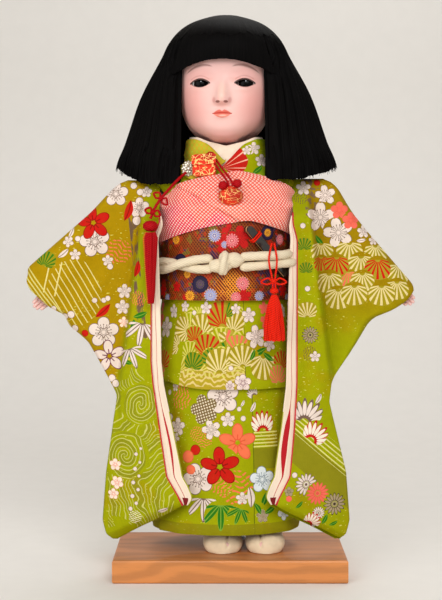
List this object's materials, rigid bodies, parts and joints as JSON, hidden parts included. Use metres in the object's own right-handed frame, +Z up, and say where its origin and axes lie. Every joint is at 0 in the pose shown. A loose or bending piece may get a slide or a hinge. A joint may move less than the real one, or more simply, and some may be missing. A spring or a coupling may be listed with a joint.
{
  "type": "ichimatsu doll",
  "caption": "Standing Japanese play doll with bobbed hair and glass eyes, dressed in a long-sleeved kimono with sash, fan and tassels, held on a wooden stand.",
  "frame": {"origin": "middle of the stand's underside", "axes": "+Z up, the doll faces -Y, its own left hand is on the +X side"},
  "size_m": [0.304, 0.1364, 0.4371],
  "materials": {
    "board_wood": "clear lacquer over grain",
    "steel": "plain",
    "moulded_body": "shell-white paint over moulded sawdust paste",
    "eye_glass": "polished",
    "hair": "combed straight",
    "calico": "stuffed plain weave",
    "white_silk": "plain",
    "printed_silk": "crepe with dyed flowers",
    "brocade": "gold thread brocade",
    "dotted_silk": "tie-dyed dots",
    "cream_cord": "padded tube",
    "lacquer": "black lacquer",
    "fan_leaf": "folded",
    "orange_silk": "twisted cord and thread",
    "crimson_silk": "twisted cord and thread",
    "wallet_brocade": "brocade with gold flecks",
    "sash_card": "plain"
  },
  "bodies": {
    "stand": {"stand_base": "board_wood", "stand_post": "steel", "post_flange": "steel"},
    "doll": {"torso": "moulded_body", "thigh_left": "calico", "thigh_right": "calico", "lower_leg_left": "moulded_body", "lower_leg_right": "moulded_body", "tabi_left": "white_silk", "tabi_right": "white_silk", "juban_bodice": "white_silk", "han_eri": "white_silk", "kimono_bodice": "printed_silk", "kimono_collar_left": "printed_silk", "kimono_collar_right": "printed_silk", "kimono_skirt": "printed_silk", "kimono_tuck": "printed_silk", "obi": "brocade", "under_sash": "calico", "obi_board": "sash_card", "obi_pillow": "calico", "obi_bow_loop_left": "brocade", "obi_bow_loop_right": "brocade", "obi_bow_knot": "brocade", "obiage_left": "dotted_silk", "obiage_right": "dotted_silk", "obijime_upper": "cream_cord", "obijime_lower": "cream_cord", "obijime_knot": "cream_cord", "fan_guard_back": "lacquer", "fan_ribs": "fan_leaf", "fan_guard_front": "lacquer", "fan_rivet": "steel", "wallet_case": "wallet_brocade", "wallet_flap": "wallet_brocade", "pouch_cord": "crimson_silk", "side_cord": "crimson_silk"},
    "head": {"head": "moulded_body", "glass_eye_left": "eye_glass", "glass_eye_right": "eye_glass", "hair_crown": "hair", "hair_fringe": "hair", "hair_side_left": "hair", "hair_side_right": "hair", "hair_back": "hair"},
    "arm_left": {"upper_arm_left": "calico", "forearm_left": "moulded_body", "sleeve_left": "printed_silk", "juban_sleeve_left": "white_silk"},
    "arm_right": {"upper_arm_right": "calico", "forearm_right": "moulded_body", "sleeve_right": "printed_silk", "juban_sleeve_right": "white_silk"},
    "fan_tassel": {"fan_cord": "orange_silk", "fan_tassel_head": "orange_silk", "fan_tassel": "orange_silk"},
    "side_tassel": {"side_tassel_head": "crimson_silk", "side_tassel": "crimson_silk"},
    "pouch": {"pouch": "wallet_brocade"}
  },
  "joints": [
    {"name": "doll_lift", "type": "slide", "parent": "stand", "child": "doll", "axis": [0, 0, 1], "range_m": [0, 0.15]},
    {"name": "head_turn", "type": "hinge", "parent": "doll", "child": "head", "pos_m": [-0.003, 0.01, 0.324], "axis": [0, 0, 1], "range_deg": [-3.5, 8]},
    {"name": "arm_raise_left", "type": "hinge", "parent": "doll", "child": "arm_left", "pos_m": [0.0534, 0.004, 0.2939], "axis": [0, -1, 0], "range_deg": [0, 15]},
    {"name": "arm_raise_right", "type": "hinge", "parent": "doll", "child": "arm_right", "pos_m": [-0.0594, 0.004, 0.2939], "axis": [0, 1, 0], "range_deg": [0, 15]},
    {"name": "fan_tassel_swing", "type": "hinge", "parent": "doll", "child": "fan_tassel", "pos_m": [0.0322, -0.0483, 0.2593], "axis": [0, 1, 0], "range_deg": [-12, 12]},
    {"name": "side_tassel_swing", "type": "hinge", "parent": "doll", "child": "side_tassel", "pos_m": [-0.0605, -0.043, 0.2765], "axis": [0, 1, 0], "range_deg": [-8, 8]},
    {"name": "pouch_swing", "type": "hinge", "parent": "doll", "child": "pouch", "pos_m": [0, -0.0464, 0.306], "axis": [0, 1, 0], "range_deg": [-10, 10]}
  ]
}
